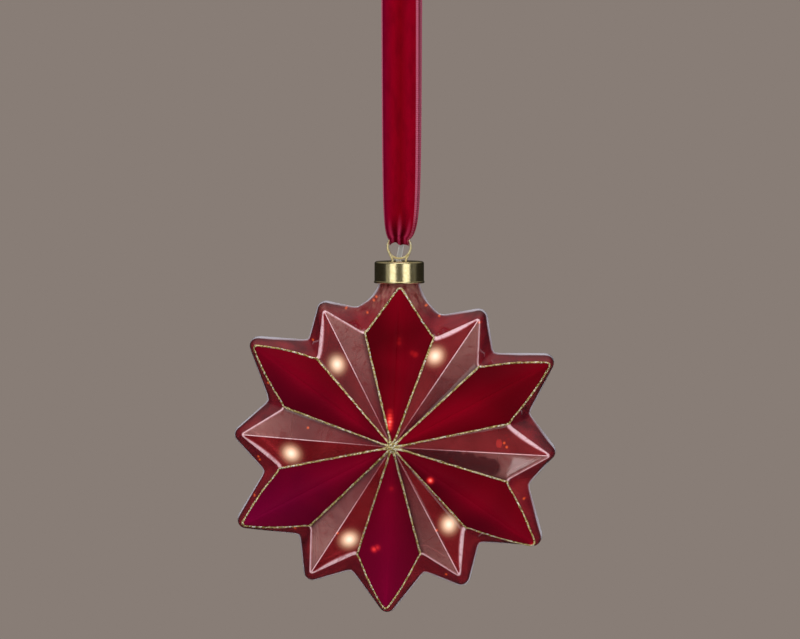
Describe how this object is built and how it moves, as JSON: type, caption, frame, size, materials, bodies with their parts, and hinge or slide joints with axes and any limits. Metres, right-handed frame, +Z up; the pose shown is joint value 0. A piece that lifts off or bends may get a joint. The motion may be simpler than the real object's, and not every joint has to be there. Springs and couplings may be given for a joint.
{
  "type": "hanging star flower light",
  "caption": "Hollow glass star flower with painted petals and a light string inside, hung by a gold cap, a coiled wire ring and a velvet ribbon loop.",
  "frame": {"origin": "inside of the ribbon loop's crown, where a hook holds the light", "axes": "+Z up along the hanging line, -Y towards the viewer out of the flower's face, +X to the viewer's right"},
  "size_m": [0.1282, 0.0542, 0.2576],
  "materials": {
    "velvet": "short-pile velvet",
    "gold": "polished gold plate",
    "white_plastic": "moulded",
    "clear_film": "clear film",
    "steel": "nickel plate",
    "board": "solder mask",
    "black_plastic": "moulded",
    "copper": "clear lacquer",
    "resin": "clear resin drop",
    "red_glass": "blown glass, red lacquer inside",
    "enamel": "satin enamel paint",
    "glitter": "glitter in clear glue"
  },
  "bodies": {
    "ribbon": {"velvet_ribbon": "velvet"},
    "hanger": {"hanger_loop": "gold"},
    "cap": {"gold_cap": "gold", "battery_holder": "white_plastic", "end_cap": "white_plastic", "button_cell_1": "steel", "button_cell_2": "steel", "button_cell_3": "steel", "side_contact": "steel", "contact_spring": "steel", "circuit_board": "board", "switch_body": "black_plastic", "lead_wire": "copper"},
    "glass": {"glass_body": "red_glass", "led_wire": "copper", "led_01": "resin", "led_02": "resin", "led_03": "resin", "led_04": "resin", "led_05": "resin", "led_06": "resin", "led_07": "resin", "led_08": "resin", "led_09": "resin", "led_10": "resin", "enamel_front_12": "enamel", "enamel_front_02": "enamel", "enamel_front_04": "enamel", "enamel_front_06": "enamel", "enamel_front_08": "enamel", "enamel_front_10": "enamel", "enamel_rear_12": "enamel", "enamel_rear_02": "enamel", "enamel_rear_04": "enamel", "enamel_rear_06": "enamel", "enamel_rear_08": "enamel", "enamel_rear_10": "enamel", "glitter_front_12": "glitter", "glitter_front_02": "glitter", "glitter_front_04": "glitter", "glitter_front_06": "glitter", "glitter_front_08": "glitter", "glitter_front_10": "glitter", "glitter_rear_12": "glitter", "glitter_rear_02": "glitter", "glitter_rear_04": "glitter", "glitter_rear_06": "glitter", "glitter_rear_08": "glitter", "glitter_rear_10": "glitter", "glitter_drop_front": "glitter", "glitter_drop_rear": "glitter"},
    "tab": {"isolator_tab": "clear_film"},
    "knob": {"switch_knob": "black_plastic"}
  },
  "joints": [
    {"name": "ring_swing", "type": "hinge", "parent": "ribbon", "child": "hanger", "pos_m": [0, 0, -0.1061], "axis": [-1, 0, 0], "range_deg": [-20, 20]},
    {"name": "cap_tilt", "type": "hinge", "parent": "hanger", "child": "cap", "pos_m": [0, 0, -0.11665], "axis": [-1, 0, 0], "range_deg": [-10, 25]},
    {"name": "glass_pull", "type": "slide", "parent": "cap", "child": "glass", "axis": [0, 0, -1], "range_m": [0, 0.028], "deforming": ["lead_wire"]},
    {"name": "tab_pull", "type": "slide", "parent": "cap", "child": "tab", "axis": [0.1908, 0, 0.9816], "range_m": [0, 0.009]},
    {"name": "switch_slide", "type": "slide", "parent": "cap", "child": "knob", "axis": [1, 0, 0], "range_m": [0, 0.002]}
  ]
}
